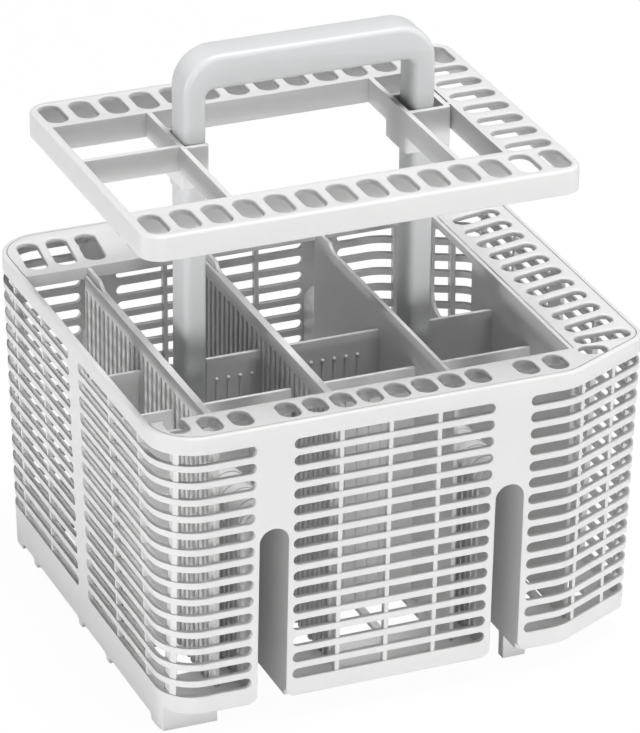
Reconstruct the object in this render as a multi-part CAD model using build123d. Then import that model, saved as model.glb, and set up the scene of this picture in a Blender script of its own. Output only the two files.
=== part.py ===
from build123d import *
import os
from math import ceil, cos, radians, sin, tan

os.makedirs("parts", exist_ok=True)

# Millimetres. X runs left to right, Y front to back, Z up from the surface the feet stand on.

# Basket shell, measured over the rim
basket_width = 240.0
basket_depth = 225.0
rim_top = 150.0
wall = 2.2
draft = 1.7
corner_radius = 22.0
right_corner_radius = 12.0
flat_turn = 32.0
chamfer_run = 45.0
chamfer_depth = 22.5
wall_bottom = 11.8
floor_thickness = 2.2

# Grille
rows = 15
row_pitch = 8.3
bottom_row = 23.0
slot_height = 5.0
strip_widening = 0.08
side_strip = 12.2
rib_width = 2.0
rib_depth = 1.2
rib_margin = 1.6
middle_rib_count = 3
middle_rib_pitch = 23.2
corner_rib_inset = 8.5
chamfer_rib_insets = [39.3, 20.0]
side_rib_first = 43.6
side_rib_pitch = 36.5

# Tunnels under the basket, each with its middle a little outside a leg of the handle
left_leg_inset = 1.0
right_leg_inset = 2.1
tunnel_width = 13.8
tunnel_wall = 1.8
tunnel_top = 99.0
arch_flats = 8
mouth_corner = 4.5

# Feet and the skirt under the left wall
foot_wall = 3.0
corner_foot_x = 31.0
corner_foot_y = 12.0
corner_foot_setback = 11.0
tab_width = 11.0
tab_depth = 4.8
tab_setback = 15.0
skirt_bottom = 3.0
side_tabs = [-30.0, 6.0, 67.0]
side_tab_width = 4.0

# Floor openings
floor_bar = 3.5
floor_opening_x = 20.0
floor_opening_y = 48.0
floor_border = 14.0

# Rim insert
seat_gap = 0.3
plate_thickness = 2.4
front_plate = 22.0
back_plate = 44.5
right_plate = 35.8
skirt_height = 6.0
skirt_wall = 1.8
divider_wall = 1.8
divider_count = 4
divider_pitch = 56.7
divider_leg_gap = 19.5
divider_drop = 4.0
right_divider_drop = 0.8
cross_wall = 1.8
cross_top = 131.7
cross_spacing = 41.5
tunnel_clearance = 0.6
window_width = 46.0
window_y = 39.3
window_bottom = 101.0
window_bar = 3.5
window_corner = 10.0

# Rim slots
slot_width = 10.0
slot_corner = 2.8
middle_slot_count = 8
middle_slot_pitch = 12.9
end_slot_pitch = 14.2
end_slot_margin = 12.0
strip_slot_gap = 11.5
front_slot_length = 15.0
front_slot_inset = 5.5
corner_slot_setback = 3.0
back_slot_length = 29.4
back_slot_inset = 9.2
back_slot_lean = -6.5
side_slot_count = 10
side_slot_pitch = 13.7
side_slot_first = 42.5
side_slot_length = 25.0
side_slot_inset = 6.5
side_slot_width = 8.6
side_slot_lean = 12.0
fan_slot_length = 27.0
fan_slot_setback = 28.5
last_slot_length = 13.5
last_slot_setback = 17.9
last_slot_inset = 28.5
last_slot_lean = -11.6

# Handle
handle_x = -11.7
handle_y = -6.2
handle_top = 282.3
bar_height = 16.2
leg_spacing = 109.4
leg_width = 10.4
leg_depth = 18.0
outer_bend = 17.5
inner_bend = 4.0
handle_edge = 2.0
socket_gap = 0.25
socket_wall = 1.8
socket_seat = 102.0
socket_height = 8.0

# Upper tray, placed from the legs that carry it
tray_left_reach = 55.8
tray_right_reach = 39.8
tray_front_reach = 94.0
tray_back_reach = 59.7
tray_bottom = 230.4
tray_thickness = 11.6
tray_skin = 2.6
tray_wall = 2.2
tray_bar = 28.4
tray_right_bar = 27.4
tray_left_wall = 3.5
tray_corner = 10.0
tray_slot_pitch = 14.4
tray_slot_end = 1.5
tray_slot_length = 20.4
tray_slot_width = 10.0
tray_side_pitch = 14.95
tray_side_end = 24.0
tray_side_length = 21.2
tray_side_width = 8.8
collar_drop = 8.0
collar_gap = 2.6
collar_side_gap = 3.8
collar_wall = 2.6
collar_floor = 2.0
web_wall = 2.4
bridge_setback = 3.0
tooth_reach = 2.0
tooth_height = 3.0
tooth_width = 8.0

# Values that follow from the ones above
half_width = basket_width / 2
half_depth = basket_depth / 2
slope = tan(radians(draft))
floor_top = wall_bottom + floor_thickness
top_row = bottom_row + (rows - 1) * row_pitch
left_leg, right_leg = leg_xs = [handle_x - leg_spacing / 2, handle_x + leg_spacing / 2]
left_tunnel, right_tunnel = left_leg - left_leg_inset, right_leg + right_leg_inset
strip_half = tunnel_width / 2 + tunnel_wall
hump_top = tunnel_top + tunnel_wall
opening_front = front_plate - half_depth
opening_back = half_depth - back_plate
opening_right = half_width - right_plate
tray_top = tray_bottom + tray_thickness
tray_left, tray_right = left_leg - tray_left_reach, right_leg + tray_right_reach
tray_front, tray_back = handle_y - tray_front_reach, handle_y + tray_back_reach
collar_bottom = tray_bottom - collar_drop
reach = 2 * basket_width


def block(x0, x1, y0, y1, z0, z1):
    """A box between two corners."""
    place = Pos((x0 + x1) / 2, (y0 + y1) / 2, (z0 + z1) / 2)
    return place * Box(x1 - x0, y1 - y0, z1 - z0)


def evenly(count, pitch, middle):
    """Places at an even pitch about a middle."""
    return [middle + (i - (count - 1) / 2) * pitch for i in range(count)]


def outline():
    """The plan of the wall at rim height, with each corner turned in flats."""
    corners = [
        Vector(-half_width, -half_depth),
        Vector(half_width - chamfer_run, -half_depth),
        Vector(half_width, chamfer_depth - half_depth),
        Vector(half_width, half_depth - chamfer_depth),
        Vector(half_width - chamfer_run, half_depth),
        Vector(-half_width, half_depth),
    ]
    points = []
    for i, corner in enumerate(corners):
        radius = right_corner_radius if corner.X == half_width else corner_radius
        back = (corners[i - 1] - corner).normalized()
        ahead = (corners[(i + 1) % len(corners)] - corner).normalized()
        turn = 180 - back.get_angle(ahead)
        centre = corner + (back + ahead).normalized() * (radius / cos(radians(turn / 2)))
        start = corner + back * radius * tan(radians(turn / 2)) - centre
        flats = ceil(turn / flat_turn - 0.01)
        points += [centre + start.rotate(Axis.Z, turn * n / flats) for n in range(flats + 1)]
    return make_face(Polyline(*points, close=True))


def tapered(inset, low, high):
    """A solid inside the tapering wall, between two heights, moved in by an inset."""
    plan = offset(outline(), -inset - (rim_top - high) * slope, kind=Kind.INTERSECTION)
    return Pos(0, 0, high) * mirror(extrude(plan, high - low, taper=draft), Plane.XY)


def slot(length_x, length_y, low, high):
    """An upright cutter for a slot with cut corners."""
    plan = chamfer(Rectangle(length_x, length_y).vertices(), slot_corner)
    return Pos(0, 0, low) * extrude(plan, high - low)


def arch(x, half, top, low):
    """A bar along a tunnel, past the front and the back, with its round top turned in flats."""
    turns = [radians(180 * n / arch_flats) for n in range(arch_flats + 1)]
    points = [(x + half * cos(turn), top - half + half * sin(turn)) for turn in turns]
    profile = make_face(Polyline((x + half, low), *points, (x - half, low), close=True))
    return extrude(Plane.XZ * profile, reach, both=True)


def around_leg(x, extra_x, extra_y, low, high):
    """A box about a leg of the handle, larger than it by the same on each side."""
    half_x = leg_width / 2 + extra_x
    half_y = leg_depth / 2 + extra_y
    return block(x - half_x, x + half_x, handle_y - half_y, handle_y + half_y, low, high)


# Plain shell, with a skirt under the left wall
basket = tapered(0, wall_bottom, rim_top) - tapered(wall, floor_top, rim_top)
foot_high = floor_top - floor_thickness / 2
foot_ring = tapered(0, 0, foot_high) - tapered(foot_wall, 0, foot_high)
foot_front = half_depth - (rim_top - wall_bottom) * slope - corner_foot_setback
left_side = corner_foot_x - half_width
skirts = [block(-reach, left_side, -foot_front, foot_front, skirt_bottom, foot_high)]
skirts += [block(-reach, left_side, y - side_tab_width / 2, y + side_tab_width / 2, 0, foot_high)
           for y in side_tabs]
skirts += [block(-reach, left_side, y, y + corner_foot_y, 0, foot_high)
           for y in (-foot_front, foot_front - corner_foot_y)]
basket += [foot_ring & skirt for skirt in skirts]

# Tunnels, with a socket for each leg on top
humps = [arch(x, strip_half, hump_top, wall_bottom) for x in (left_tunnel, right_tunnel)]
basket += [hump & tapered(0, wall_bottom, rim_top) for hump in humps]
socket_side = socket_gap + socket_wall
basket += [around_leg(x, socket_side, socket_side, tunnel_top - strip_half, socket_seat + socket_height)
           for x in leg_xs]
basket -= [around_leg(x, socket_gap, socket_gap, socket_seat, rim_top) for x in leg_xs]
basket -= [arch(x, tunnel_width / 2, tunnel_top, -wall_bottom) for x in (left_tunnel, right_tunnel)]

# Floor openings, in columns beside and between the tunnels
floor_spans = [
    (floor_border - half_width, left_tunnel - strip_half, half_depth - floor_border),
    (left_tunnel + strip_half, right_tunnel - strip_half, half_depth - floor_border),
    (right_tunnel + strip_half, half_width - floor_border, half_depth - chamfer_depth),
]
cutters = []
for x0, x1, y_end in floor_spans:
    columns = int((x1 - x0 - floor_bar) // (floor_opening_x + floor_bar))
    lines = int((2 * y_end - floor_bar) // (floor_opening_y + floor_bar))
    for x in evenly(columns, floor_opening_x + floor_bar, (x0 + x1) / 2):
        for y in evenly(lines, floor_opening_y + floor_bar, 0):
            hole = Box(floor_opening_x, floor_opening_y, 2 * floor_thickness)
            cutters.append(Pos(x, y, wall_bottom + floor_thickness / 2) * hole)

# Cut corners where the walls end beside the tunnel mouths
wall_inside = half_depth - (rim_top - wall_bottom) * slope - wall
for x in (left_tunnel, right_tunnel):
    for side in (-1, 1):
        edge = x + side * tunnel_width / 2
        corner = Polyline((edge, wall_bottom), (edge + side * mouth_corner, wall_bottom),
                          (edge, wall_bottom + mouth_corner), close=True)
        for y in (-wall_inside, wall_inside + reach):
            cutters.append(Pos(0, y, 0) * extrude(Plane.XZ * make_face(corner), reach))

# Grille: each row takes one cutter for the two middle panels and one for each corner panel, and the
# panels end beside the tunnel strips and the side strips
for row in range(rows):
    z = bottom_row + row * row_pitch
    low, high = z - slot_height / 2, z + slot_height / 2
    edge = strip_half + strip_widening * (rows - 1 - row)
    cutters.append(block(left_tunnel + edge, right_tunnel - edge, -reach, reach, low, high))
    for x0, x1 in [(-reach, left_tunnel - edge), (right_tunnel + edge, reach)]:
        for y0, y1 in [(-reach, -side_strip / 2), (side_strip / 2, reach)]:
            cutters.append(block(x0, x1, y0, y1, low, high))
basket -= cutters

# Upright ribs on the inside of the bars, at the front and the left
rib_low = bottom_row - slot_height / 2 - rib_margin
rib_high = top_row + slot_height / 2 + rib_margin
rib_layer = tapered(wall, rib_low, rib_high) - tapered(wall + rib_depth, rib_low, rib_high)
rib_xs = evenly(middle_rib_count, middle_rib_pitch, handle_x) + [corner_rib_inset - half_width]
rib_xs += [half_width - inset for inset in chamfer_rib_insets]
rib_ys = [side * (side_rib_first + n * side_rib_pitch) for side in (-1, 1) for n in range(2)]
half_rib = rib_width / 2
slabs = [block(x - half_rib, x + half_rib, -reach, 0, rib_low, rib_high) for x in rib_xs]
slabs += [block(-reach, 0, y - half_rib, y + half_rib, rib_low, rib_high) for y in rib_ys]
basket += [rib_layer & slab for slab in slabs]

# Feet set back under the floor: one at each left corner and one beside the right tunnel at each end
corner_foot = tapered(0, 0, foot_high) & block(-reach, left_side, -foot_front, foot_front, 0, foot_high)
corner_foot -= block(-reach, reach, foot_wall - foot_front, foot_front - foot_wall, 0, foot_high)
tab_x = right_tunnel + tunnel_width / 2
tab_front = foot_front + corner_foot_setback - tab_setback
basket += [corner_foot]
basket += [block(tab_x, tab_x + tab_width, y - tab_depth / 2, y + tab_depth / 2, 0, floor_top)
           for y in (tab_depth / 2 - tab_front, tab_front - tab_depth / 2)]

# Rim insert: a plate on three sides, skirts, dividers and cross plates that stand on the floor
plate_bottom = rim_top - plate_thickness
room = tapered(wall + seat_gap, floor_top, rim_top)
insert = tapered(wall + seat_gap, plate_bottom, rim_top)
insert -= block(-reach, opening_right, opening_front, opening_back, 0, reach)
skirt_low = rim_top - skirt_height
for y0 in (opening_front - skirt_wall, opening_back):
    insert += block(-reach, opening_right, y0, y0 + skirt_wall, skirt_low, rim_top) & room
first_divider = left_leg - divider_leg_gap
dividers = [(first_divider + n * divider_pitch, rim_top - divider_drop) for n in range(divider_count - 1)]
dividers.append((opening_right, rim_top - right_divider_drop))
divider_front, divider_back = opening_front - skirt_wall, opening_back + skirt_wall
for x, top in dividers:
    insert += block(x - divider_wall, x, divider_front, divider_back, floor_top, top)
for y in (handle_y, handle_y - cross_spacing):
    plate = block(-reach, opening_right, y - cross_wall / 2, y + cross_wall / 2, floor_top, cross_top)
    insert += plate & room
for x in (left_tunnel, right_tunnel):
    insert -= arch(x, strip_half + tunnel_clearance, hump_top + tunnel_clearance, 0)
insert -= [around_leg(x, socket_side + tunnel_clearance, socket_side, 0, reach) for x in leg_xs]

# Cut-out in the right divider
window_top = rim_top - right_divider_drop - window_bar
window = Rectangle(window_width, window_top - window_bottom)
window = chamfer(window.vertices().group_by(Axis.Y)[0], window_corner)
window = extrude(Plane.YZ * window, 2 * divider_wall, both=True)
insert -= Pos(opening_right, window_y, (window_top + window_bottom) / 2) * window

# Rim slots along the front and the back, leaning ones along the right, and two that fan round the corner
left_ends = left_tunnel - strip_slot_gap
right_ends = right_tunnel + strip_slot_gap
left_count = int((left_ends + half_width - end_slot_margin) // end_slot_pitch) + 1
right_count = int((half_width - chamfer_run - right_ends) // end_slot_pitch) + 1
middle_xs = evenly(middle_slot_count, middle_slot_pitch, handle_x)
left_xs = [left_ends - n * end_slot_pitch for n in range(left_count)]
right_xs = [right_ends + n * end_slot_pitch for n in range(right_count)]
slot_low, slot_high = plate_bottom - plate_thickness, rim_top + plate_thickness
front_y = front_slot_inset + front_slot_length / 2 - half_depth
back_y = half_depth - back_slot_inset - back_slot_length / 2
front_slot = slot(slot_width, front_slot_length, slot_low, slot_high)
back_slot = slot(slot_width, back_slot_length, slot_low, slot_high)
side_slot = slot(side_slot_length, side_slot_width, slot_low, slot_high)
fan_slot = slot(fan_slot_length, side_slot_width, slot_low, slot_high)
last_slot = slot(last_slot_length, side_slot_width, slot_low, slot_high)
side_x = half_width - side_slot_inset - side_slot_length / 2
rim_slots = [Pos(x, front_y) * front_slot for x in left_xs[:-1] + middle_xs + right_xs]
rim_slots.append(Pos(left_xs[-1], front_y + corner_slot_setback) * front_slot)
rim_slots += [Pos(x, back_y) * back_slot for x in middle_xs + right_xs]
rim_slots += [Pos(x, back_y) * Rot(0, 0, back_slot_lean) * back_slot for x in left_xs]
side_ys = [side_slot_first - half_depth + n * side_slot_pitch for n in range(side_slot_count)]
rim_slots += [Pos(side_x, y) * Rot(0, 0, side_slot_lean) * side_slot for y in side_ys]
rim_slots.append(Pos(side_x, fan_slot_setback - half_depth) * fan_slot)
rim_slots.append(Pos(half_width - last_slot_inset, last_slot_setback - half_depth) * Rot(0, 0, last_slot_lean)
                 * last_slot)
insert -= rim_slots

# Handle: a U with two rounded upper corners, its legs standing in the sockets
inner = leg_spacing / 2 - leg_width / 2
outer = leg_spacing / 2 + leg_width / 2
bar_bottom = handle_top - bar_height
profile = make_face(Polyline(
    (-outer, socket_seat), (-outer, handle_top), (outer, handle_top), (outer, socket_seat),
    (inner, socket_seat), (inner, bar_bottom), (-inner, bar_bottom), (-inner, socket_seat), close=True))
profile = fillet(profile.vertices().group_by(Axis.Y)[-1], outer_bend)
profile = fillet(profile.vertices().filter_by_position(Axis.Y, bar_bottom - 1, bar_bottom + 1), inner_bend)
handle = extrude(Plane.XZ * profile, leg_depth / 2, both=True)
faces = handle.faces().sort_by(Axis.Y)
edges = (faces[0].edges() + faces[-1].edges()).filter_by(lambda edge: edge.center().Z > socket_seat)
handle = Pos(handle_x, handle_y) * chamfer(edges, handle_edge)
for x, side in zip(leg_xs, (-1, 1)):
    root = x + side * (leg_width / 2 - tooth_reach)
    tip = x + side * (leg_width / 2 + tooth_reach)
    handle += block(min(root, tip), max(root, tip), handle_y - tooth_width / 2, handle_y + tooth_width / 2,
                    collar_bottom - tooth_height, collar_bottom)

# Upper tray: a frame with bars on three sides, hollow from below, and a thin wall on the left
tray_width, tray_depth = tray_right - tray_left, tray_back - tray_front
tray_x, tray_y = tray_left + tray_width / 2, tray_front + tray_depth / 2
inner_left, inner_right = tray_left + tray_left_wall, tray_right - tray_right_bar
inner_front, inner_back = tray_front + tray_bar, tray_back - tray_bar
tray = Pos(tray_x, tray_y, tray_bottom) * extrude(
    RectangleRounded(tray_width, tray_depth, tray_corner), tray_thickness)
tray -= block(inner_left, inner_right, inner_front, inner_back, 0, reach)
hollow = Pos(tray_x, tray_y, tray_bottom) * extrude(
    RectangleRounded(tray_width - 2 * tray_wall, tray_depth - 2 * tray_wall, tray_corner - tray_wall),
    tray_thickness - tray_skin)
hollow -= block(-reach, inner_right + tray_wall, inner_front - tray_wall, inner_back + tray_wall, 0, reach)
tray -= hollow

# Webs, collars and bridges that carry the tray on the legs; the left collar is open towards the right
left_face, right_face = left_leg - leg_width / 2 - seat_gap, right_leg - leg_width / 2 - collar_gap
leg_front, leg_back = handle_y - leg_depth / 2 - seat_gap, handle_y + leg_depth / 2 + seat_gap
collar_ys = (leg_front - collar_wall, leg_back + collar_wall)
right_pocket = right_leg + leg_width / 2 + collar_side_gap
for face in (left_face, right_face):
    tray += block(face - web_wall, face, inner_front, inner_back, tray_bottom, tray_top)
tray += block(left_face - web_wall, left_leg + leg_width / 2, *collar_ys, collar_bottom, tray_top)
tray += block(right_face - web_wall, right_pocket + collar_wall, *collar_ys, collar_bottom, tray_top)
bridge_ys = (collar_ys[0] + bridge_setback, collar_ys[0] + bridge_setback + web_wall)
tray += block(inner_left, left_face - web_wall, *bridge_ys, tray_bottom, tray_top)
tray += block(right_pocket + collar_wall, inner_right, *bridge_ys, tray_bottom, tray_top)
tray -= block(left_face, left_leg + leg_width, leg_front, leg_back, 0, reach)
tray -= block(right_face, right_pocket, leg_front, leg_back, collar_bottom + collar_floor, reach)
tray -= around_leg(right_leg, seat_gap, seat_gap, 0, reach)

# Tray slots, as many as fit
tray_slot_count = int((tray_width - 2 * tray_slot_end) // tray_slot_pitch)
tray_side_count = int((tray_depth - 2 * tray_side_end) // tray_side_pitch)
tray_slot = slot(tray_slot_width, tray_slot_length, 0, reach)
tray_side_slot = slot(tray_side_length, tray_side_width, 0, reach)
tray_slots = [Pos(x, y) * tray_slot for x in evenly(tray_slot_count, tray_slot_pitch, tray_x)
              for y in (tray_front + tray_bar / 2, tray_back - tray_bar / 2)]
tray_slots += [Pos(tray_right - tray_right_bar / 2, y) * tray_side_slot
               for y in evenly(tray_side_count, tray_side_pitch, tray_y)]
tray -= tray_slots

# The middle of the whole goes to the origin
ends_x = min(tray_left, -half_width) + max(tray_right, half_width)
ends_y = min(tray_front, -half_depth) + max(tray_back, half_depth)
to_middle = Pos(-ends_x / 2, -ends_y / 2, 0)
for name, piece in [("basket", basket), ("rim_insert", insert), ("handle", handle), ("upper_tray", tray)]:
    export_step(to_middle * piece, f"parts/{name}.step")
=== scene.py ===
import bpy
import math
from mathutils import Matrix, Vector


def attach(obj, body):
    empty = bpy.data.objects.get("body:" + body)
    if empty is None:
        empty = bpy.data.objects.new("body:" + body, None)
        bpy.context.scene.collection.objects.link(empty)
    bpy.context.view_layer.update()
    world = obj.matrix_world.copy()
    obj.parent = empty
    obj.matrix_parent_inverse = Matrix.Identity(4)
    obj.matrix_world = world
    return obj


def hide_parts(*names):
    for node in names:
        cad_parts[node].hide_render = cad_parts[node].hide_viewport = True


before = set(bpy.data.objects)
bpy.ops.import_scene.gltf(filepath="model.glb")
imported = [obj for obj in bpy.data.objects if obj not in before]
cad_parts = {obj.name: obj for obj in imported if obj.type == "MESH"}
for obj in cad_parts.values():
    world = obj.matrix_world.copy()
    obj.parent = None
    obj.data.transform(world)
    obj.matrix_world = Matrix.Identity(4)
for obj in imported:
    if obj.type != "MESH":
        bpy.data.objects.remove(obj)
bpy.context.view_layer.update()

# The start-up file's own things go
for name in ("Cube", "Light", "Camera"):
    if name in bpy.data.objects:
        bpy.data.objects.remove(bpy.data.objects[name])

# Sizes are in millimetres, as in the part's source, and become metres where a mesh is made
mm = 0.001

# Basket shell
half_width = 120.0
half_depth = 112.5
rim_top = 150.0
wall = 2.2
slope = math.tan(math.radians(1.7))
corner_radius = 22.0
right_corner_radius = 12.0
chamfer_run = 45.0
chamfer_depth = 22.5
wall_bottom = 11.8
floor_top = 14.0
rim_edge = 1.0

# Grille
rows = 15
row_pitch = 8.3
bottom_row = 23.0
slot_height = 5.2
slot_sag = 0.1
strip_widening = 0.08
side_strip = 12.2
rib_width = 2.0
rib_depth = 1.2
rib_sink = 0.5
rib_margin = 1.6
front_rib_xs = [-36.1, -12.9, 10.3, -111.5, 80.7, 100.0]
back_rib_xs = [-34.3, -11.1, 12.1, -111.5, 82.5, 107.0]
side_ribs = [43.6, 80.1]

# Handle legs and the tunnels under them
handle_x = -11.7
handle_y = -6.2
leg_xs = [-66.4, 43.0]
leg_half_x = 5.2
leg_half_y = 9.0
tunnel_xs = [-67.4, 45.1]
tunnel_half = 6.9
strip_half = 8.7
tunnel_top = 99.0
hump_top = 100.8
hump_rib_pitch = 5.6
hump_rib_width = 2.4
hump_rib_rise = 0.45
hump_rib_end = 100.0
mouth_corner = 4.5
socket_side = 2.05
socket_gap = 0.25
socket_seat = 102.0
socket_top = 110.0

# Feet, skirt and floor openings
foot_wall = 3.0
foot_high = 12.9
foot_front = 97.4
left_side = -89.0
skirt_bottom = 3.0
recess_corner = 2.6
side_tabs = [-30.0, 6.0, 67.0]
side_tab_width = 4.0
corner_foot_y = 12.0
tab_x = 52.0
tab_width = 11.0
tab_front = 93.4
tab_depth = 4.8
floor_bar = 3.5
floor_opening_x = 20.0
floor_opening_y = 48.0
floor_border = 14.0

# Rim insert
seat_gap = 0.3
plate_thickness = 2.4
opening_front = -90.5
opening_back = 68.0
opening_right = 84.2
skirt_low = 144.0
skirt_wall = 1.8
divider_xs = [84.2, 27.5, -29.2, -85.9]
divider_wall = 1.8
divider_top = 146.0
right_divider_top = 149.2
rise_start = 46.0
rise_radius = 10.0
cross_ys = [-6.2, -47.7]
cross_wall = 1.8
cross_top = 131.7
tunnel_clearance = 0.6
window_y = 39.3
window_half = 23.0
window_bottom = 101.0
window_top = 145.7
window_corner = 10.0

# Grooves in two of the dividers and pins on the cross plates
pad_depth = 1.6
groove_pitch = 5.6
groove_width = 2.8
groove_count = 28
groove_middle = -11.0
groove_drop = 6.5
pad_setback = 1.0
pin_pitch = 5.75
pin_cells = [(-53.7, 4), (-19.2, 7)]
pin_half = 0.5
pin_depth = 0.7
pin_top = 121.0
pin_ball = 0.9

# Rim slots
middle_slot_count = 8
middle_slot_pitch = 12.9
left_slot_count = 3
right_slot_count = 2
end_slot_pitch = 14.2
strip_slot_gap = 11.5
slot_width = 10.0
slot_lip = 0.8
lip_steps = 3
front_slot_length = 15.0
front_slot_y = -99.5
corner_slot_setback = 3.0
back_slot_length = 29.4
back_slot_y = 88.6
back_slot_lean = -6.5
side_slot_count = 10
side_slot_pitch = 13.7
side_slot_first = -70.0
side_slot_length = 25.0
side_slot_width = 8.6
side_slot_x = 101.0
side_slot_lean = 12.0

# The two slots at the front right corner, each as x, y, length and lean
fan_slot = (101.0, -84.0, 27.0, 0.0)
last_slot = (91.5, -94.6, 13.5, -11.6)

# Handle
handle_top = 282.3
bar_bottom = 266.1
leg_spacing_half = 54.7
outer_bend = 17.5
inner_bend = 4.0
handle_edge = 2.6
tooth_reach = 2.0
tooth_height = 3.0
tooth_half = 4.0

# Upper tray
tray_left = -122.2
tray_right = 82.8
tray_front = -100.2
tray_back = 53.5
tray_bottom = 230.4
tray_top = 242.0
tray_skin = 2.6
tray_wall = 2.2
tray_edge = 1.5
tray_bar = 28.4
tray_right_bar = 27.4
tray_left_wall = 3.5
tray_corner = 10.0
collar_bottom = 222.4
collar_gap = 2.6
collar_side_gap = 3.8
collar_wall = 2.6
collar_floor = 2.0
collar_corner = 1.6
web_wall = 2.4
bridge_setback = 3.0
tray_slot_count = 14
tray_slot_pitch = 14.4
tray_slot_length = 20.4
tray_slot_width = 10.0
tray_side_count = 7
tray_side_pitch = 14.95
tray_side_length = 21.2
tray_side_width = 8.8

# Steps in each rounded corner or edge
left_corner_steps = 14
chamfer_steps = 6
right_corner_steps = 10
rim_edge_steps = 3
row_end_steps = 5
slot_end_steps = 8
arch_steps = 12
rod_sides = 48
recess_steps = 5
groove_steps = 4
window_steps = 8
outer_bend_steps = 16
inner_bend_steps = 8
handle_edge_steps = 4
tray_corner_steps = 10
tray_edge_steps = 4
collar_steps = 4
pin_ball_sides = 10
pin_ball_rings = 6

# Share of the half width that a round end takes
slot_round = 0.98
arch_round = 0.99
groove_round = 0.96

# Edges sharper than the first angle, in degrees, are shaded sharp; past the second the handle's are rounded
smooth_angle = 32
soft_edge_angle = 50

# Plastic: the noise is scaled to a metre; the grain's height and the soft edges' width are in millimetres
cloud_scale = 18.0
cloud_detail = 3.0
cloud_gloss = 0.12
grain_scale = 900.0
grain_detail = 2.0
grain_strength = 0.04
grain_height = 0.2
soft_width = 0.6
soft_samples = 6
refraction = 1.48
shine = 0.35

# Floor in metres, with how much of its white is its own to the eye
floor_size = 12
floor_drop = 0.0005
floor_white = 0.9
floor_glow = 0.97

# Camera: angles in degrees, distance and lens in millimetres
target = Vector((-3.5, -10.6, 120.1)) * mm
camera_azimuth = -22.79
camera_elevation = 26.33
camera_roll = 0.55
camera_distance = 2268.6
camera_lens = 245.57
camera_sensor = 36
camera_far_end = 100

# Light: each lamp's place and width in metres, and its watts; three stand low and one hangs above
sky_light = 0.1
lamps = [((-0.3, -2.0, 0.2), 0.36, 13), ((-2.0, 0.0, 0.2), 0.36, 18), ((1.5, -1.6, 0.2), 0.36, 9),
         ((0.3, -0.2, 2.4), 1.2, 60)]

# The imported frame's middle lies this far left of the middle of the basket
frame_shift = 1.1

# A length beyond every piece, how far cutters run past and joined pieces sink in, and a hair's breadth
reach = 480.0
past = 1.0
overlap = 0.02

# How near two lengths are to count as the same, and how upright a normal is on a level face
tolerance = 0.01
level = 0.9


def evenly(count, pitch, middle):
    """Places at an even pitch about a middle."""
    return [middle + (i - (count - 1) / 2) * pitch for i in range(count)]


middle_slot_xs = evenly(middle_slot_count, middle_slot_pitch, handle_x)
left_slot_xs = [tunnel_xs[0] - strip_slot_gap - n * end_slot_pitch for n in range(left_slot_count)]
right_slot_xs = [tunnel_xs[1] + strip_slot_gap + n * end_slot_pitch for n in range(right_slot_count)]


def only(piece):
    """Selects one piece and makes it the active one."""
    bpy.ops.object.select_all(action="DESELECT")
    piece.select_set(True)
    bpy.context.view_layer.objects.active = piece


def block(x0, x1, y0, y1, z0, z1):
    """A box between two corners."""
    bpy.ops.object.select_all(action="DESELECT")
    middle = Vector(((x0 + x1) / 2, (y0 + y1) / 2, (z0 + z1) / 2)) * mm
    sides = Vector((x1 - x0, y1 - y0, z1 - z0)) * mm
    bpy.ops.mesh.primitive_cube_add(size=1, location=middle, scale=sides)
    bpy.ops.object.transform_apply(location=True, rotation=True, scale=True)
    return bpy.context.object


def pick_none(piece, kind):
    """Makes ready to pick edges or faces of a piece, with none picked."""
    only(piece)
    bpy.ops.object.mode_set(mode="EDIT")
    bpy.ops.mesh.select_mode(type=kind)
    bpy.ops.mesh.select_all(action="DESELECT")
    bpy.ops.object.mode_set(mode="OBJECT")


def pick_faces(piece, test):
    """Leaves edit mode open with the faces selected whose normals pass a test."""
    pick_none(piece, "FACE")
    for face in piece.data.polygons:
        face.select = test(face.normal)
    bpy.ops.object.mode_set(mode="EDIT")


def pick_edges(piece, test):
    """Leaves edit mode open with the edges selected whose two ends pass a test."""
    pick_none(piece, "EDGE")
    points = piece.data.vertices
    for edge in piece.data.edges:
        a, b = (points[i].co / mm for i in edge.vertices)
        edge.select = test(a, b)
    bpy.ops.object.mode_set(mode="EDIT")


def round_edges(piece, radius, segments, test):
    """Rounds the edges whose two ends pass a test."""
    pick_edges(piece, test)
    bpy.ops.mesh.bevel(offset=radius * mm, offset_type="OFFSET", segments=segments, profile=0.5,
                       affect="EDGES")
    bpy.ops.object.mode_set(mode="OBJECT")
    return piece


def same(a, b):
    """True for two lengths that are alike."""
    return abs(a - b) < tolerance


def upright(a, b):
    """True for an edge along Z."""
    return same(a.x, b.x) and same(a.y, b.y)


def along_x(height):
    """A test for edges along X at a height."""
    return lambda a, b: same(a.y, b.y) and same(a.z, height) and same(b.z, height)


def along_y(height):
    """A test for edges along Y at a height."""
    return lambda a, b: same(a.x, b.x) and same(a.z, height) and same(b.z, height)


def all_round(height):
    """A test for all edges at a height."""
    return lambda a, b: same(a.z, height) and same(b.z, height)


def rounded_block(x0, x1, y0, y1, z0, z1, radius, segments):
    """A box with its upright edges rounded."""
    return round_edges(block(x0, x1, y0, y1, z0, z1), radius, segments, upright)


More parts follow.
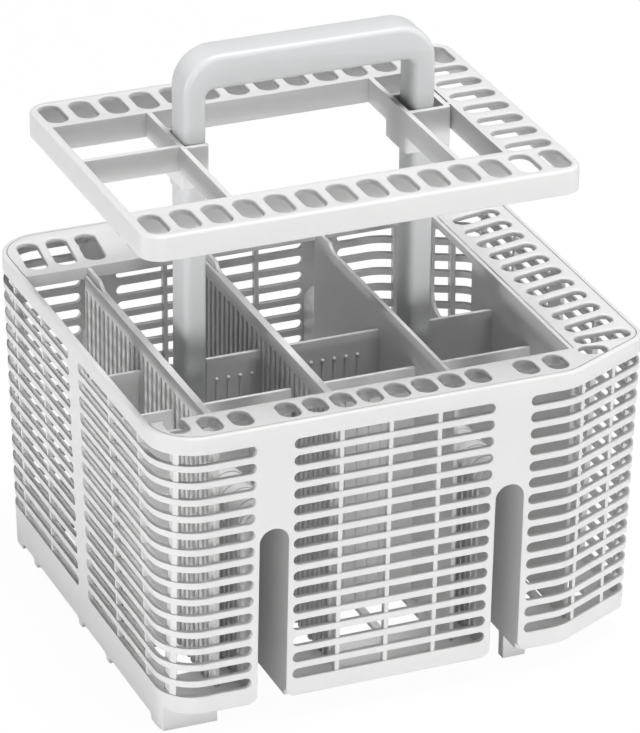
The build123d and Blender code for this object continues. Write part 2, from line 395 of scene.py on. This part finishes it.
def slot(x, y, length_x, length_y, low, top, lean):
    """An upright cutter for a round-ended slot that opens to a rounded lip at the top."""
    half_x, half_y = length_x / 2 + slot_lip, length_y / 2 + slot_lip
    start = top + overlap
    cutter = rounded_block(x - half_x, x + half_x, y - half_y, y + half_y, start, start + past,
                           min(half_x, half_y) * slot_round, slot_end_steps)

    # The face underneath is drawn in along a quarter circle and then straight down
    pick_faces(cutter, lambda normal: normal.z < -level)
    turns = [math.radians(90 * n / lip_steps) for n in range(lip_steps + 1)]
    for a, b in zip(turns, turns[1:]):
        bpy.ops.mesh.inset(thickness=(math.sin(b) - math.sin(a)) * slot_lip * mm,
                           depth=(math.cos(a) - math.cos(b)) * slot_lip * mm)
    straight = (0, 0, (low - start + slot_lip) * mm)
    bpy.ops.mesh.extrude_region_move(TRANSFORM_OT_translate={"value": straight})
    if lean:
        middle = (x * mm, y * mm, 0)
        bpy.ops.mesh.select_all(action="SELECT")
        bpy.ops.transform.rotate(value=-math.radians(lean), orient_axis="Z", center_override=middle)
    bpy.ops.object.mode_set(mode="OBJECT")
    return cutter


def join(pieces):
    """Joins pieces that lie apart from each other into one mesh."""
    only(pieces[0])
    for piece in pieces:
        piece.select_set(True)
    bpy.ops.object.join()
    return bpy.context.object


def combine(piece, tool, operation):
    """Adds a solid to a piece, cuts it away or keeps what they share, and uses the solid up."""
    modifier = piece.modifiers.new("combine", "BOOLEAN")
    modifier.solver = "MANIFOLD"
    modifier.operation = operation
    modifier.object = tool
    only(piece)
    bpy.ops.object.modifier_apply(modifier=modifier.name)
    bpy.data.objects.remove(tool)
    return piece


def add(piece, *tools):
    """Adds solids to a piece."""
    for tool in tools:
        combine(piece, tool, "UNION")
    return piece


def cut(piece, *tools):
    """Cuts solids away from a piece."""
    for tool in tools:
        combine(piece, tool, "DIFFERENCE")
    return piece


def keep(piece, tool):
    """Keeps the part of a piece that lies in a solid."""
    return combine(piece, tool, "INTERSECT")


def tapered(inset, low, high):
    """A solid inside the tapering wall, between two heights, moved in by an inset."""
    run_in = inset + (rim_top - high) * slope
    wide, deep = half_width - run_in, half_depth - run_in
    shell = block(-wide, wide, -deep, deep, high - past, high)
    length = math.hypot(chamfer_run, chamfer_depth)
    for side in (-1, 1):
        normal = Vector((chamfer_depth, side * chamfer_run, 0)) / length
        corner = Vector((half_width - chamfer_run, side * half_depth, 0)) - normal * run_in
        only(shell)
        bpy.ops.object.mode_set(mode="EDIT")
        bpy.ops.mesh.select_all(action="SELECT")
        bpy.ops.mesh.bisect(plane_co=corner * mm, plane_no=normal, use_fill=True, clear_outer=True)
        bpy.ops.object.mode_set(mode="OBJECT")
    half_turn = math.atan2(chamfer_depth, chamfer_run) / 2
    chamfer_bend = (corner_radius - run_in) * math.tan(half_turn)
    right_bend = (right_corner_radius - run_in) * math.tan(math.pi / 4 - half_turn)

    def left(a, b):
        return upright(a, b) and a.x < 0

    def chamfer_start(a, b):
        return upright(a, b) and a.x > 0 and same(abs(a.y), deep)

    def right(a, b):
        return upright(a, b) and same(a.x, wide)

    round_edges(shell, corner_radius - run_in, left_corner_steps, left)
    round_edges(shell, chamfer_bend, chamfer_steps, chamfer_start)
    round_edges(shell, right_bend, right_corner_steps, right)

    # Only the top face stays; it is drawn down and in to the lower end, and a new top closes it
    pick_faces(shell, lambda normal: normal.z < level)
    bpy.ops.mesh.delete(type="FACE")
    bpy.ops.mesh.select_all(action="SELECT")
    bpy.ops.mesh.inset(thickness=(high - low) * slope * mm, depth=(low - high) * mm)
    bpy.ops.mesh.select_mode(type="EDGE")
    bpy.ops.mesh.select_all(action="DESELECT")
    bpy.ops.mesh.select_non_manifold()
    bpy.ops.mesh.edge_face_add()
    bpy.ops.mesh.select_all(action="SELECT")
    bpy.ops.mesh.normals_make_consistent(inside=False)
    bpy.ops.object.mode_set(mode="OBJECT")
    return shell


def arch(x, half, top, low):
    """A round-topped bar along a tunnel, past the front and the back."""
    bar = block(x - half, x + half, -reach, reach, low, top)
    return round_edges(bar, half * arch_round, arch_steps, along_y(top))


def rod(radius, middle, length, turn):
    """A round bar about a middle, turned from upright to lie along X or Y."""
    bpy.ops.object.select_all(action="DESELECT")
    bpy.ops.mesh.primitive_cylinder_add(radius=radius * mm, depth=length * mm, vertices=rod_sides,
                                        location=Vector(middle) * mm, rotation=turn)
    bpy.ops.object.transform_apply(location=True, rotation=True, scale=True)
    return bpy.context.object


def around_leg(x, extra_x, extra_y, low, high):
    """A box about a leg of the handle, larger than it by the same on each side."""
    half_x, half_y = leg_half_x + extra_x, leg_half_y + extra_y
    return block(x - half_x, x + half_x, handle_y - half_y, handle_y + half_y, low, high)


def slot_row(x0, x1, y0, y1, z):
    """One row's cutter, with the ends that stop inside the wall fully rounded."""
    low, high = z - slot_sag - slot_height / 2, z - slot_sag + slot_height / 2
    cutter = block(x0, x1, y0, y1, low, high)

    def ends(a, b):
        stops_in_x = same(a.x, b.x) and abs(a.x) < reach - past
        stops_in_y = same(a.y, b.y) and abs(a.y) < reach - past
        return same(a.z, b.z) and (stops_in_x or stops_in_y)

    return round_edges(cutter, slot_height / 2 * slot_round, row_end_steps, ends)


def finished(piece, name, node):
    """Names a piece, smooths it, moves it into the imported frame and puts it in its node's place."""
    piece.name = name
    only(piece)
    bpy.ops.object.shade_smooth_by_angle(angle=math.radians(smooth_angle))
    bpy.ops.transform.translate(value=(frame_shift * mm, 0, 0))
    bpy.ops.object.transform_apply(location=True, rotation=True, scale=True)
    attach(piece, "root")
    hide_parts(node)
    return piece


def make_feet(basket):
    """The skirt under the left wall with its tabs, and the feet."""
    skirt = cut(tapered(overlap, 0, foot_high), tapered(foot_wall, -past, foot_high + past))
    keep(skirt, block(-reach, left_side, -foot_front, foot_front, -past, foot_high))
    ends = [corner_foot_y - foot_front]
    for y in side_tabs:
        ends += [y - side_tab_width / 2, y + side_tab_width / 2]
    ends.append(foot_front - corner_foot_y)
    for y0, y1 in zip(ends[::2], ends[1::2]):
        recess = block(-reach, 0, y0, y1, -skirt_bottom, skirt_bottom)
        cut(skirt, round_edges(recess, recess_corner, recess_steps, along_x(skirt_bottom)))
    foot = tapered(overlap, 0, foot_high)
    keep(foot, block(-reach, left_side, -foot_front, foot_front, -past, foot_high))
    foot_inside = foot_front - foot_wall
    cut(foot, block(-reach, reach, -foot_inside, foot_inside, -past, foot_high + past))
    add(basket, skirt, foot)
    for y0 in (-tab_front, tab_front - tab_depth):
        add(basket, block(tab_x, tab_x + tab_width, y0, y0 + tab_depth, 0, floor_top - overlap))


def mouth_cutters():
    """Cutters that round the corners of the front and back wall beside the tunnel mouths."""
    cutters = []
    inside = half_depth - (rim_top - wall_bottom) * slope - wall
    for x in tunnel_xs:
        for side in (-1, 1):
            near = x + side * (tunnel_half - overlap)
            far = x + side * (tunnel_half + mouth_corner)
            high = wall_bottom + mouth_corner
            corner = block(min(near, far), max(near, far), -reach / 2, reach / 2, 0, high)
            cut(corner, rod(mouth_corner, (far, 0, high), 2 * reach, (math.pi / 2, 0, 0)))
            cutters.append(cut(corner, block(-reach, reach, -inside, inside, 0, reach)))
    return cutters


def floor_cutters():
    """Cutters for the oblong openings in the three parts of the floor."""
    spans = [
        (floor_border - half_width, tunnel_xs[0] - strip_half, half_depth - floor_border),
        (tunnel_xs[0] + strip_half, tunnel_xs[1] - strip_half, half_depth - floor_border),
        (tunnel_xs[1] + strip_half, half_width - floor_border, half_depth - chamfer_depth),
    ]
    holes = []
    for x0, x1, y_end in spans:
        columns = int((x1 - x0 - floor_bar) // (floor_opening_x + floor_bar))
        lines = int((2 * y_end - floor_bar) // (floor_opening_y + floor_bar))
        for x in evenly(columns, floor_opening_x + floor_bar, (x0 + x1) / 2):
            for y in evenly(lines, floor_opening_y + floor_bar, 0):
                holes.append(block(x - floor_opening_x / 2, x + floor_opening_x / 2,
                                   y - floor_opening_y / 2, y + floor_opening_y / 2,
                                   wall_bottom - past, floor_top + past))
    return holes


def make_basket():
    """The outer shell: walls, floor, tunnels, sockets, slots and upright ribs."""
    basket = tapered(0, wall_bottom, rim_top)
    round_edges(basket, rim_edge, rim_edge_steps, all_round(rim_top))
    cut(basket, tapered(wall, floor_top, rim_top + past))
    make_feet(basket)
    ribs_y = evenly(int(2 * hump_rib_end / hump_rib_pitch), hump_rib_pitch, 0)
    for x in tunnel_xs:
        hump = arch(x, strip_half, hump_top, wall_bottom + overlap)
        add(basket, keep(hump, tapered(overlap, wall_bottom, rim_top)))
        slabs = [block(-reach, reach, y - hump_rib_width / 2, y + hump_rib_width / 2, floor_top, rim_top)
                 for y in ribs_y]
        raised = arch(x, strip_half + hump_rib_rise, hump_top + hump_rib_rise, floor_top)
        add(basket, keep(raised, join(slabs)))
    for x in leg_xs:
        add(basket, around_leg(x, socket_side, socket_side, tunnel_top - strip_half, socket_top))
        cut(basket, around_leg(x, socket_gap, socket_gap, socket_seat, rim_top))
    cut(basket, join([arch(x, tunnel_half, tunnel_top, -wall_bottom) for x in tunnel_xs]))
    cut(basket, join(mouth_cutters()))
    cutters = floor_cutters()
    for row in range(rows):
        z = bottom_row + row * row_pitch
        edge = strip_half + strip_widening * (rows - 1 - row)
        cutters.append(slot_row(tunnel_xs[0] + edge, tunnel_xs[1] - edge, -reach, reach, z))
        for x0, x1 in [(-reach, tunnel_xs[0] - edge), (tunnel_xs[1] + edge, reach)]:
            for y0, y1 in [(-reach, -side_strip / 2), (side_strip / 2, reach)]:
                cutters.append(slot_row(x0, x1, y0, y1, z))
    cut(basket, join(cutters))

    # Upright ribs, cut from a layer on the inside of the walls
    rib_low = bottom_row - slot_height / 2 - rib_margin
    rib_high = bottom_row + (rows - 1) * row_pitch + slot_height / 2 + rib_margin
    rib_layer = tapered(rib_sink, rib_low, rib_high)
    cut(rib_layer, tapered(wall + rib_depth, rib_low - past, rib_high + past))
    half_rib = rib_width / 2
    slabs = [block(x - half_rib, x + half_rib, -reach, 0, 0, rim_top) for x in front_rib_xs]
    slabs += [block(x - half_rib, x + half_rib, 0, reach, 0, rim_top) for x in back_rib_xs]
    for rib in side_ribs:
        slabs += [block(-reach, reach, y - half_rib, y + half_rib, 0, rim_top) for y in (-rib, rib)]
    for slab in slabs:
        only(rib_layer)
        bpy.ops.object.duplicate()
        add(basket, keep(bpy.context.object, slab))
    bpy.data.objects.remove(rib_layer)
    return finished(basket, "basket_shell", "basket")


def dress_dividers(insert):
    """Grooved pads on two dividers' left faces, raised back ends, and pins on the cross plates."""
    groove_top = divider_top - groove_drop
    for x in divider_xs[2:]:
        face = x - divider_wall
        add(insert, block(face - pad_depth, face + overlap, opening_front + pad_setback,
                          opening_back - pad_setback, floor_top + overlap, divider_top - overlap))
        grooves = []
        for y in evenly(groove_count, groove_pitch, groove_middle):
            groove = block(face - 2 * pad_depth, face, y - groove_width / 2, y + groove_width / 2,
                           0, groove_top)
            grooves.append(round_edges(groove, groove_width / 2 * groove_round, groove_steps,
                                       along_x(groove_top)))
        cut(insert, join(grooves))
    for x in divider_xs[1:]:
        rise = block(x - divider_wall + overlap, x - overlap, rise_start, opening_back + overlap,
                     divider_top - past, right_divider_top)
        bend = rod(rise_radius, (x, rise_start, divider_top + rise_radius), reach, (0, math.pi / 2, 0))
        add(insert, cut(rise, bend))
    pins = []
    for y in cross_ys:
        front = y - cross_wall / 2
        for first, count in pin_cells:
            for n in range(count):
                x = first + n * pin_pitch
                pin = block(x - pin_half, x + pin_half, front - pin_depth, front + overlap,
                            floor_top + overlap, pin_top)
                tip = Vector((x, front - pin_depth / 2, pin_top)) * mm
                bpy.ops.object.select_all(action="DESELECT")
                bpy.ops.mesh.primitive_uv_sphere_add(segments=pin_ball_sides, ring_count=pin_ball_rings,
                                                     radius=pin_ball * mm, location=tip)
                bpy.ops.object.transform_apply(location=True, rotation=True, scale=True)
                pins.append(add(pin, bpy.context.object))
    add(insert, join(pins))


def make_insert():
    """The rim plate with its skirts, dividers, cross plates and slots."""
    insert = tapered(wall + seat_gap, rim_top - plate_thickness, rim_top)
    cut(insert, block(-reach, opening_right, opening_front, opening_back, 0, reach))
    room = tapered(wall + seat_gap, floor_top, rim_top)
    walls = [block(-reach, opening_right - overlap, y, y + skirt_wall, skirt_low, rim_top - overlap)
             for y in (opening_front - skirt_wall, opening_back)]
    for x in divider_xs:
        top = right_divider_top if x == opening_right else divider_top
        walls.append(block(x - divider_wall, x, opening_front - skirt_wall + overlap,
                           opening_back + skirt_wall - overlap, floor_top + overlap, top))
    for y in cross_ys:
        walls.append(block(-reach, opening_right - overlap, y - cross_wall / 2, y + cross_wall / 2,
                           floor_top + overlap, cross_top))
    for piece in walls:
        only(room)
        bpy.ops.object.duplicate()
        add(insert, keep(piece, bpy.context.object))
    bpy.data.objects.remove(room)
    dress_dividers(insert)
    cut(insert, join([arch(x, strip_half + tunnel_clearance, hump_top + tunnel_clearance, 0)
                      for x in tunnel_xs]))
    cut(insert, join([around_leg(x, socket_side + tunnel_clearance, socket_side, 0, reach)
                      for x in leg_xs]))
    window = block(opening_right - 2 * divider_wall, opening_right + divider_wall,
                   window_y - window_half, window_y + window_half, window_bottom, window_top)
    cut(insert, round_edges(window, window_corner, window_steps, along_x(window_bottom)))

    # Slots right through the plate
    low = rim_top - 2 * plate_thickness
    slots = []
    for x in left_slot_xs + middle_slot_xs + right_slot_xs:
        y = front_slot_y + (corner_slot_setback if x == left_slot_xs[-1] else 0)
        lean = back_slot_lean if x in left_slot_xs else 0
        slots.append(slot(x, y, slot_width, front_slot_length, low, rim_top, 0))
        slots.append(slot(x, back_slot_y, slot_width, back_slot_length, low, rim_top, lean))
    for n in range(side_slot_count):
        y = side_slot_first + n * side_slot_pitch
        slots.append(slot(side_slot_x, y, side_slot_length, side_slot_width, low, rim_top, side_slot_lean))
    for x, y, length, lean in (fan_slot, last_slot):
        slots.append(slot(x, y, length, side_slot_width, low, rim_top, lean))
    cut(insert, join(slots))
    return finished(insert, "rim_and_dividers", "rim_insert")


def make_handle():
    """The upright U with soft edges and a tooth on each leg for the tray."""
    outer, inner = leg_spacing_half + leg_half_x, leg_spacing_half - leg_half_x
    handle = block(handle_x - outer, handle_x + outer, handle_y - leg_half_y, handle_y + leg_half_y,
                   socket_seat, handle_top)
    round_edges(handle, outer_bend, outer_bend_steps, along_y(handle_top))
    gap = block(handle_x - inner, handle_x + inner, -reach, reach, 0, bar_bottom)
    cut(handle, round_edges(gap, inner_bend, inner_bend_steps, along_y(bar_bottom)))
    modifier = handle.modifiers.new("soft edges", "BEVEL")
    modifier.width = handle_edge * mm
    modifier.segments = handle_edge_steps
    modifier.limit_method = "ANGLE"
    modifier.angle_limit = math.radians(soft_edge_angle)
    only(handle)
    bpy.ops.object.modifier_apply(modifier=modifier.name)
    for x, side in zip(leg_xs, (-1, 1)):
        root = x + side * (leg_half_x - tooth_reach)
        tip = x + side * (leg_half_x + tooth_reach)
        add(handle, block(min(root, tip), max(root, tip), handle_y - tooth_half, handle_y + tooth_half,
                          collar_bottom - tooth_height, collar_bottom))
    return finished(handle, "carrying_handle", "handle")


def make_tray():
    """The slotted tray, hollow underneath, with its webs, collars and bridges."""
    tray = rounded_block(tray_left, tray_right, tray_front, tray_back, tray_bottom, tray_top,
                         tray_corner, tray_corner_steps)
    round_edges(tray, tray_edge, tray_edge_steps, all_round(tray_top))
    inner_left, inner_right = tray_left + tray_left_wall, tray_right - tray_right_bar
    inner_front, inner_back = tray_front + tray_bar, tray_back - tray_bar
    cut(tray, block(inner_left, inner_right, inner_front, inner_back, 0, reach))
    hollow = rounded_block(tray_left + tray_wall, tray_right - tray_wall, tray_front + tray_wall,
                           tray_back - tray_wall, tray_bottom - past, tray_top - tray_skin,
                           tray_corner - tray_wall, tray_corner_steps)
    cut(hollow, block(-reach, inner_right + tray_wall, inner_front - tray_wall, inner_back + tray_wall,
                      0, reach))
    cut(tray, hollow)

    # Webs, collars and bridges; the left collar is open towards the right
    left_face, right_face = leg_xs[0] - leg_half_x - seat_gap, leg_xs[1] - leg_half_x - collar_gap
    leg_front, leg_back = handle_y - leg_half_y - seat_gap, handle_y + leg_half_y + seat_gap
    collar_front, collar_back = leg_front - collar_wall, leg_back + collar_wall
    right_pocket = leg_xs[1] + leg_half_x + collar_side_gap
    web_low, web_high = tray_bottom + overlap, tray_top - overlap
    for face in (left_face, right_face):
        add(tray, block(face - web_wall, face, inner_front - past, inner_back + past, web_low, web_high))
    for x0, x1 in [(left_face - web_wall - overlap, leg_xs[0] + leg_half_x),
                   (right_face - web_wall - overlap, right_pocket + collar_wall)]:
        add(tray, rounded_block(x0, x1, collar_front, collar_back, collar_bottom, tray_top,
                                collar_corner, collar_steps))
    bridge = collar_front + bridge_setback
    for x0, x1 in [(inner_left - past, left_face - web_wall + past),
                   (right_pocket + collar_wall - past, inner_right + past)]:
        add(tray, block(x0, x1, bridge, bridge + web_wall, web_low, web_high))
    cut(tray, block(left_face, leg_xs[0] + 2 * leg_half_x, leg_front, leg_back, 0, reach))
    cut(tray, block(right_face, right_pocket, leg_front, leg_back, collar_bottom + collar_floor, reach))
    cut(tray, around_leg(leg_xs[1], seat_gap, seat_gap, 0, reach))
    slots = []
    for x in evenly(tray_slot_count, tray_slot_pitch, (tray_left + tray_right) / 2):
        for y in (tray_front + tray_bar / 2, tray_back - tray_bar / 2):
            slots.append(slot(x, y, tray_slot_width, tray_slot_length, 0, tray_top, 0))
    side_x = tray_right - tray_right_bar / 2
    for y in evenly(tray_side_count, tray_side_pitch, (tray_front + tray_back) / 2):
        slots.append(slot(side_x, y, tray_side_length, tray_side_width, 0, tray_top, 0))
    cut(tray, join(slots))
    return finished(tray, "slotted_tray", "upper_tray")


class Shade:
    """A shader value with the usual arithmetic, in one material."""

    def __init__(self, tree, socket):
        self.tree = tree
        self.socket = socket

    def node(self, kind, settings=None, output=0, **inputs):
        """Adds a node, sets it up and gives back one of its outputs."""
        made = self.tree.nodes.new(kind)
        for key, value in (settings or {}).items():
            setattr(made, key, value)
        for key, value in inputs.items():
            socket = made.inputs[int(key[1:])]
            if isinstance(value, Shade):
                self.tree.links.new(value.socket, socket)
            else:
                socket.default_value = value
        return Shade(self.tree, made.outputs[output])

    def maths(self, operation, other, swap=False):
        first, second = (other, self) if swap else (self, other)
        return self.node("ShaderNodeMath", {"operation": operation}, i0=first, i1=second)

    def __add__(self, other):
        return self.maths("ADD", other)

    def __radd__(self, other):
        return self.maths("ADD", other, True)

    def __sub__(self, other):
        return self.maths("SUBTRACT", other)

    def __rsub__(self, other):
        return self.maths("SUBTRACT", other, True)

    def __mul__(self, other):
        return self.maths("MULTIPLY", other)

    def __rmul__(self, other):
        return self.maths("MULTIPLY", other, True)

    def noise(self, scale, detail):
        return self.node("ShaderNodeTexNoise", None, 0, i0=self, i2=scale, i3=detail)


def plastic(name, light, dark, roughness):
    """Satin moulded plastic with a slight cloudiness, a fine grain and softened edges."""
    material = bpy.data.materials.new(name)
    material.use_nodes = True
    tree = material.node_tree
    shader = tree.nodes["Principled BSDF"]
    place = Shade(tree, tree.nodes.new("ShaderNodeTexCoord").outputs["Object"])
    cloud = place.noise(cloud_scale, cloud_detail)
    grain = place.noise(grain_scale, grain_detail)
    colour = place.node("ShaderNodeMix", {"data_type": "RGBA"}, 2, i0=cloud, i6=dark, i7=light)
    tree.links.new(colour.socket, shader.inputs["Base Color"])
    tree.links.new((roughness + (cloud - 0.5) * cloud_gloss).socket, shader.inputs["Roughness"])
    soft = place.node("ShaderNodeBevel", {"samples": soft_samples}, i0=soft_width * mm)
    bump = place.node("ShaderNodeBump", None, 0, i0=grain_strength, i1=grain_height * mm, i3=grain, i4=soft)
    tree.links.new(bump.socket, shader.inputs["Normal"])
    shader.inputs["IOR"].default_value = refraction
    shader.inputs["Specular IOR Level"].default_value = shine
    return material


def dress(piece, material):
    """Gives a piece one material in place of any it has."""
    piece.data.materials.clear()
    piece.data.materials.append(material)


# Pieces
basket = make_basket()
insert = make_insert()
handle = make_handle()
tray = make_tray()

# Materials: a pale plastic for the basket, its insert and the tray, and for the handle a darker, slightly
# bluer copy of it; the darkening is painted shade, standing in for the floor light that the tray and basket
# keep off the handle
pale = plastic("pale_plastic", (0.72, 0.72, 0.715, 1), (0.69, 0.692, 0.69, 1), 0.38)
# Painted shade: the pale plastic made darker for the handle
shaded_pale = plastic("pale_plastic_painted_shade", (0.64, 0.646, 0.652, 1), (0.62, 0.626, 0.632, 1), 0.36)
for piece in (basket, insert, tray):
    dress(piece, pale)
dress(handle, shaded_pale)

# Floor, white to the eye, with a faint shadow
bpy.ops.object.select_all(action="DESELECT")
bpy.ops.mesh.primitive_plane_add(size=floor_size, location=(0, 0, -floor_drop))
floor = bpy.context.object
floor.name = "studio_floor"
white = bpy.data.materials.new("studio_white")
white.use_nodes = True
tree = white.node_tree
tree.nodes.clear()
to_camera = Shade(tree, tree.nodes.new("ShaderNodeLightPath").outputs["Is Camera Ray"])
matt = to_camera.node("ShaderNodeBsdfDiffuse", None, 0, i0=(floor_white, floor_white, floor_white, 1))
glow = to_camera.node("ShaderNodeEmission", None, 0, i0=(1, 1, 1, 1), i1=1.0)
mixed = to_camera.node("ShaderNodeMixShader", None, 0, i0=to_camera * floor_glow, i1=matt, i2=glow)
tree.links.new(mixed.socket, tree.nodes.new("ShaderNodeOutputMaterial").inputs["Surface"])
dress(floor, white)

# Sky: white to the eye and a soft even light on the part
world = bpy.data.worlds.new("studio")
bpy.context.scene.world = world
world.use_nodes = True
tree = world.node_tree
sky = tree.nodes["Background"]
to_camera = Shade(tree, tree.nodes.new("ShaderNodeLightPath").outputs["Is Camera Ray"])
sky.inputs["Color"].default_value = (1, 1, 1, 1)
tree.links.new((to_camera * (1 - sky_light) + sky_light).socket, sky.inputs["Strength"])

# Lamps
for place, size, power in lamps:
    bpy.ops.object.light_add(type="AREA", location=place)
    lamp = bpy.context.object
    lamp.data.shape = "DISK"
    lamp.data.size = size
    lamp.data.energy = power
    lamp.rotation_mode = "QUATERNION"
    lamp.rotation_quaternion = (target - Vector(place)).to_track_quat("-Z", "Y")

# Camera, at the angle of the photo
azimuth = math.radians(camera_azimuth)
elevation = math.radians(camera_elevation)
level_part = math.cos(elevation)
back = Vector((math.sin(azimuth) * level_part, -math.cos(azimuth) * level_part, math.sin(elevation)))
roll = Matrix.Rotation(math.radians(camera_roll), 3, "Z").to_quaternion()
bpy.ops.object.camera_add(location=target + back * camera_distance * mm)
camera = bpy.context.object
camera.rotation_mode = "QUATERNION"
camera.rotation_quaternion = (-back).to_track_quat("-Z", "Y") @ roll
camera.data.sensor_width = camera_sensor
camera.data.lens = camera_lens
camera.data.clip_end = camera_far_end
bpy.context.scene.camera = camera
bpy.context.scene.view_settings.view_transform = "Standard"
